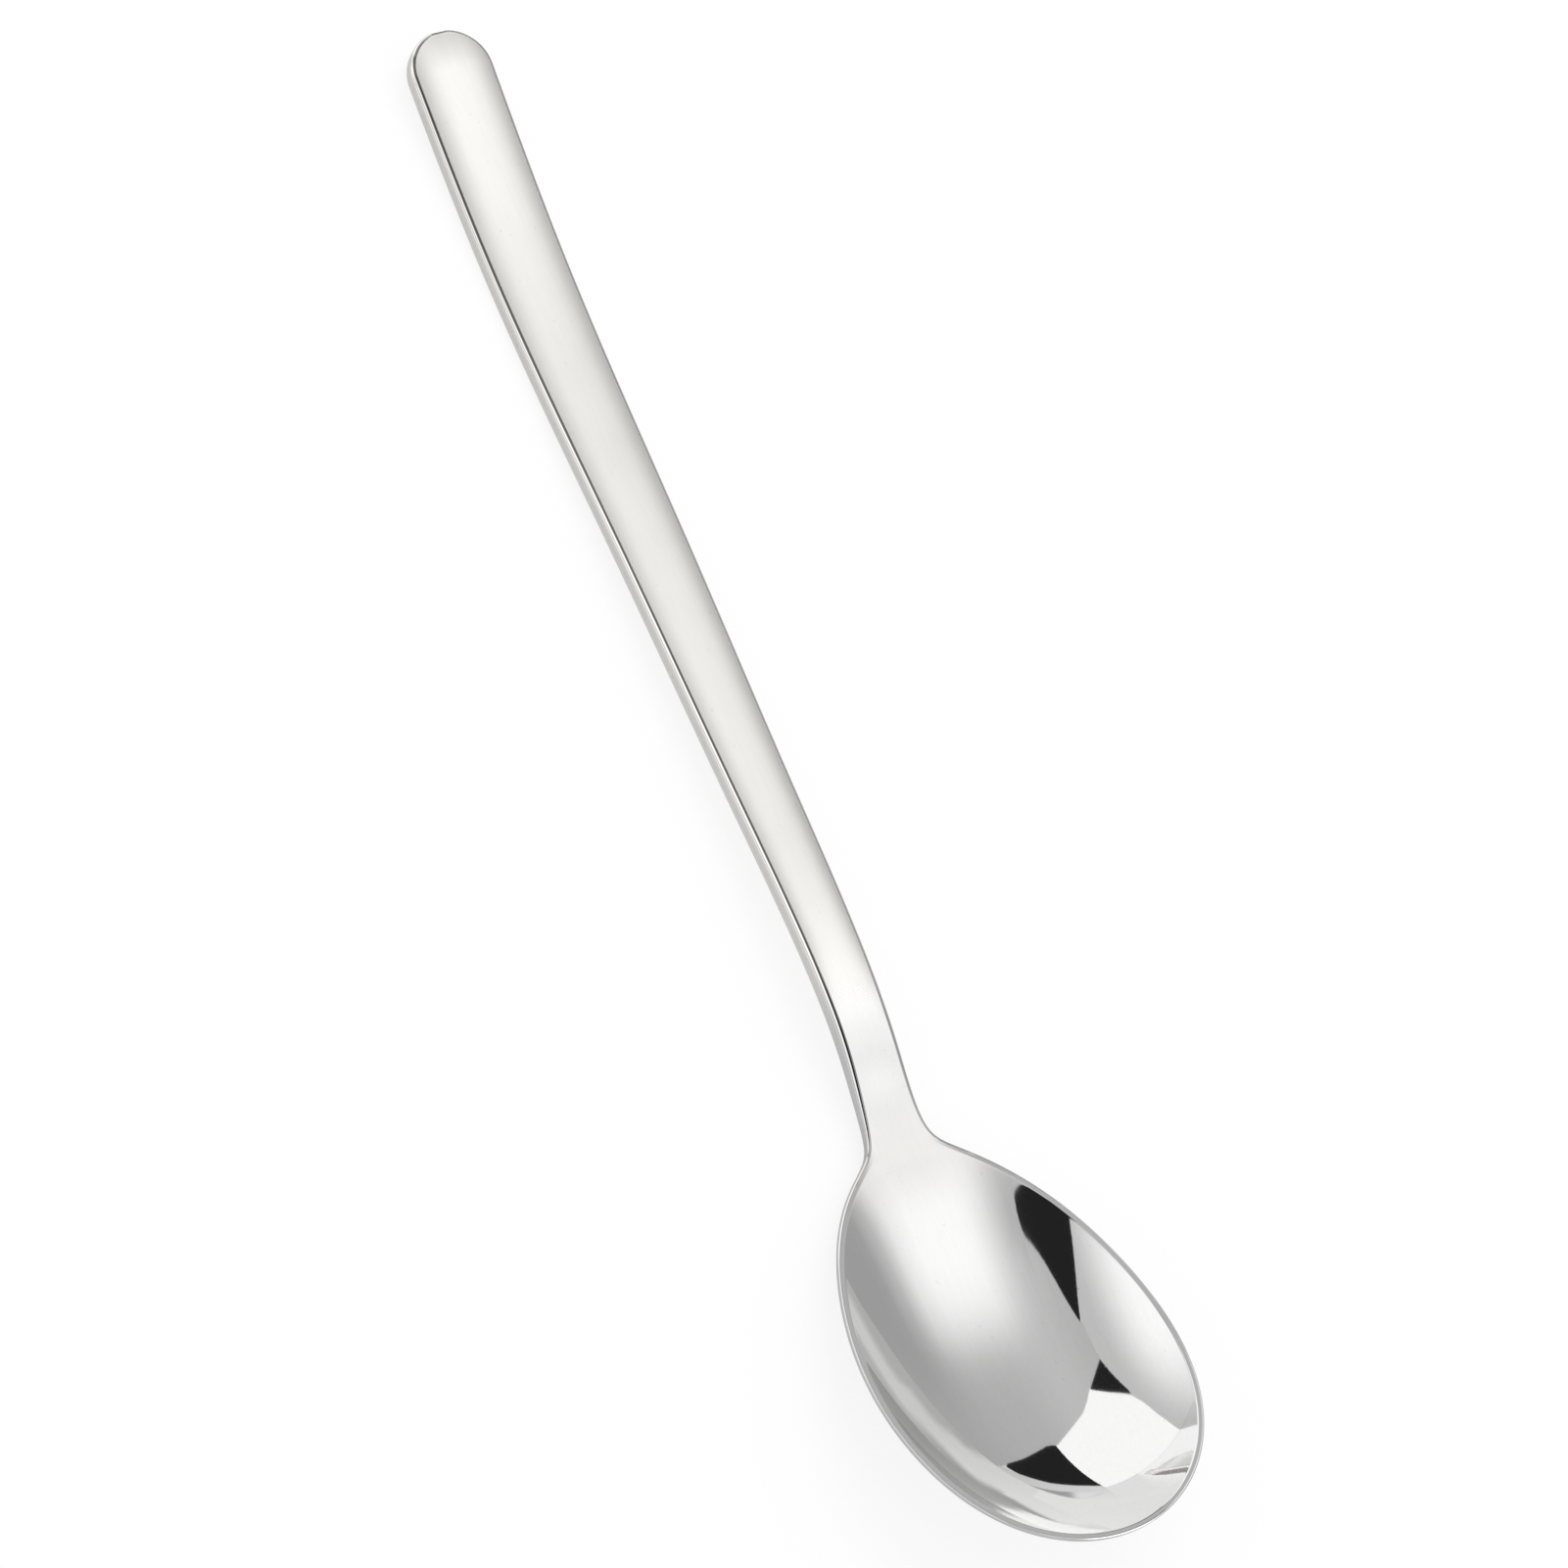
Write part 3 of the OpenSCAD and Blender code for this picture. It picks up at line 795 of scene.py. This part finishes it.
def panel(name, distance, rows, *glows):
    """Soft panel round the spoon. rows gives, for some v, the u of its two ends. The first of glows gives
    its brightness in the steel, and any others its brightness in steel that is itself seen in steel, once
    or twice over."""
    bpy.ops.object.select_all(action="DESELECT")
    bpy.ops.mesh.primitive_grid_add(x_subdivisions=PANEL_N, y_subdivisions=PANEL_N, size=2)
    card = bpy.context.object
    card.name = name
    mesh = card.data
    flat = values_of(mesh.vertices, "co")
    vs, lefts, rights = (np.array(c, float) for c in zip(*rows))
    # The sheet's rows are shared out evenly among the rows of its outline
    v = np.interp((flat[:, 1] + 1) / 2 * (len(vs) - 1), np.arange(len(vs)), vs)
    t = (flat[:, 0] + 1) / 2
    u = np.interp(v, vs, lefts) * (1 - t) + np.interp(v, vs, rights) * t
    mesh.vertices.foreach_set("co", toward(u, v, distance).ravel())
    material, tree = stage_material(name)
    levels = []
    for i, glow in enumerate(glows):
        label = "glow_%d" % (i + 1)
        store(mesh, label, glow(u, v))
        levels.append(node(tree, "ShaderNodeAttribute", attribute_name=label).outputs["Fac"])
    mesh.update()
    # Each further brightness takes over from one more mirror on
    depth = tree.nodes.new("ShaderNodeLightPath").outputs["Glossy Depth"]
    strength = levels[0]
    for i, level in enumerate(levels[1:], start=1):
        again = math_node(tree, "GREATER_THAN", depth, i + 0.5)
        more = math_node(tree, "MULTIPLY", again, math_node(tree, "SUBTRACT", level, strength))
        strength = math_node(tree, "ADD", strength, more)
    light = tree.nodes.new("ShaderNodeEmission")
    tree.links.new(strength, light.inputs["Strength"])
    end_in(tree, "ShaderNodeOutputMaterial", light.outputs[0])
    mesh.materials.append(material)
    card.visible_camera = False
    card.visible_diffuse = False
    card.visible_shadow = False


# Brightness over the panels. Middles, widths and softness are in degrees of u or v, and the other numbers
# are brightness or shares of it. All were found by laying the reflections over those in the photograph.
def fade(value, middle, soft):
    """Soft step from 0 to 1 as the value passes its middle."""
    return 1 / (1 + np.exp((middle - value) / soft))


def hill(value, middle, width):
    """1 at the middle, less to both sides."""
    return np.exp(-(((value - middle) / width) ** 2))


def even_glow(level):
    return lambda u, v: level + 0 * u


def overhead_glow(u, v):
    """Even pale cloth with one softly edged bright field, and past it the dark room with a strip light
    that only the satin steel catches."""
    past = fade(u, 29.2, 5)
    far_darker = (0.05 + 0.08 * fade(u, -30, 6)) * np.clip((v - 38) / 27, 0, 1)
    near_darker = 0.3 * fade(u, -6.2, 0.6) * fade(-v, 11, 3)
    cloth = (CLOTH_LEVEL + 0.1 * hill(v, -8, 20) - far_darker) * (1 - near_darker)
    field = fade(u, -17, 4) * fade(v, -1, 5) * fade(-v, -51, 4.4) * (1 - 0.637 * fade(u, 13.9, 3.6))
    field = field * (1 + 0.13 * hill(u, -5, 6))
    strip = past * fade(v, 4.1, 1.04) * fade(-v, -48.6, 1.04)
    return cloth * (1 - ROOM_DARKER * past) + FIELD_LEVEL * field + STRIP_LEVEL * strip


def front_glow(u, v):
    rise = smooth(np.clip((-v - 36) / 24, 0, 1))
    bright = SIDE_LEVEL + 0.6 * rise * hill(np.minimum(u, -40), -40, 40)
    return bright * (1 - 0.5 * fade(-v, 74, 1.5))


def far_side_glow(u, v):
    return SIDE_LEVEL + 0.25 * np.clip((-u - 56) / 40, 0, 1)


def seen_twice(u, v):
    """Pale field with two straight edges."""
    top = np.interp(u, (-60, -54, -48, -42, -36, -30, -24), (39.5, 44.5, 48, 51, 53.5, 56, 60))
    end = np.interp(v, (12, 18, 24, 30, 36, 40), (-40, -38.5, -33, -27, -20, 0))
    level = np.interp(u, (-96, -78, -66, -54, -42, -30), (0.94, 1.22, 1.18, 1.12, 1.04, 0.96))
    around = np.interp(u, (-48, -30), (0.55, 0.7))
    return around + (level - around) * fade(top - v, 0, CRISP) * fade(end - u, 0, CRISP)


def seen_thrice(u, v):
    """Dim ground with one bright corner."""
    return np.interp(u, (-54, -30), (0.74, 0.6)) + 0.95 * fade(-u, 57, CRISP) * fade(-v, -43, CRISP)


left_glow = even_glow(LEFT_LEVEL)
gap_glow = even_glow(GAP_LEVEL)
for name, distance, glows, rows in (
    ("overhead_panel", OVERHEAD_FAR, (overhead_glow, seen_twice, seen_thrice),
     [(-31, -39, -27), (-30, -39.5, -26), (-27, -41, -15), (-24, -42.5, -9), (-19, -45, -6),
      (-17, -46, -4), (-14, -48, 60), (-8, -51, 62), (5, -54, 64), (18, -57, 64), (62, -57, 60),
      (90, -54, 50)]),
    ("front_panel", OUTER_FAR, (front_glow,),
     [(-95, -110, 60), (-75, -110, 60), (-60, -110, 60), (-45, -110, 60), (-41, -110, -11),
      (-37, -110, -15), (-34, -110, -20), (-31, -110, -26)]),
    ("far_side_panel", OUTER_FAR, (far_side_glow, seen_twice, seen_thrice),
     [(20, -105, -86), (26, -105, -83), (44, -104, -72), (57, -100, -62), (64, -96, -56),
      (90, -60, -54)]),
    ("left_panel", LEFT_FAR, (left_glow, left_glow, seen_thrice),
     [(-37.2, -74, -65), (-36.8, -77, -62), (-35.7, -82.5, -59), (-34.5, -86, -56.5),
      (-32.5, -90, -54.5), (-28, -97, -51.5), (-19, -110, -45), (-8, -110, -50), (5, -110, -53),
      (19, -110, -56), (21, -86, -60), (24, -84, -64), (26, -82, -80)]),
    ("gap_left", GAP_FAR, (gap_glow, seen_twice, seen_thrice),
     [(18.5, -57.2, -56.8), (21, -86, -55.8), (24, -84, -55.3), (27, -82, -55.5), (44, -72, -56.5),
      (57, -62, -56.5), (60, -58, -57.5)]),
    ("gap_middle", GAP_FAR, (gap_glow,), [(-35, -56, -54), (-31, -53, -39), (-19, -45.5, -45)]),
    ("gap_front", GAP_FAR, (gap_glow,),
     [(-41, -11, 30), (-38, -14.5, 30), (-34, -20, 30), (-30, -27, 30), (-28, -20.5, 30),
      (-26, -15, 30), (-24, -11.5, 30), (-22, -9.4, 30), (-20, -8, 30), (-18, -7, 30),
      (-17.2, -6.4, 30), (-16.8, -5.4, 30), (-16.4, 2, 30), (-11, 3, 30), (-8, 4, 30)]),
):
    panel(name, distance, rows, *glows)

# Light of the room, on things and as it is seen
ROOM_LIGHT, ROOM_SEEN = 0.95, 1.0
world = bpy.data.worlds.new("studio")
bpy.context.scene.world = world
world.use_nodes = True
world.node_tree.nodes.clear()
seen = seen_by(world.node_tree, "Is Camera Ray", "Is Glossy Ray", "Is Transmission Ray")
lighting, backdrop = (
    node(world.node_tree, "ShaderNodeBackground", Strength=strength).outputs[0]
    for strength in (ROOM_LIGHT, ROOM_SEEN)
)
end_in(world.node_tree, "ShaderNodeOutputWorld", mixed(world.node_tree, seen, lighting, backdrop))

LAMP_AT = (-0.35, 0.3, 1.2)
LAMP_SIZE, LAMP_POWER = 0.8, 2.0
bpy.ops.object.light_add(type="AREA", location=LAMP_AT)
lamp = bpy.context.object
lamp.name = "soft_lamp"
lamp.data.shape = "DISK"
lamp.data.size = LAMP_SIZE
lamp.data.energy = LAMP_POWER
lamp.visible_glossy = False
lamp.rotation_euler = (Vector((0, 0, 0)) - lamp.location).to_track_quat("-Z", "Y").to_euler()

# Camera, at the photograph's angle
SENSOR_W, LENS = 36, 172.715
NEAREST, FARTHEST = 0.01, 30
eye = Vector((0.251330, -0.398345, 0.812526))
right = Vector((0.375016, 0.870864, 0.317738))
down = Vector((0.887930, -0.238965, -0.393035))
ahead = Vector((-0.266352, 0.429524, -0.862882))
bpy.ops.object.camera_add()
camera = bpy.context.object
camera.data.sensor_width = SENSOR_W
camera.data.lens = LENS
camera.data.clip_start = NEAREST
camera.data.clip_end = FARTHEST
camera.matrix_world = Matrix((
    (right.x, -down.x, -ahead.x, eye.x),
    (right.y, -down.y, -ahead.y, eye.y),
    (right.z, -down.z, -ahead.z, eye.z),
    (0, 0, 0, 1),
))
bpy.context.scene.camera = camera
bpy.context.scene.view_settings.view_transform = "Standard"
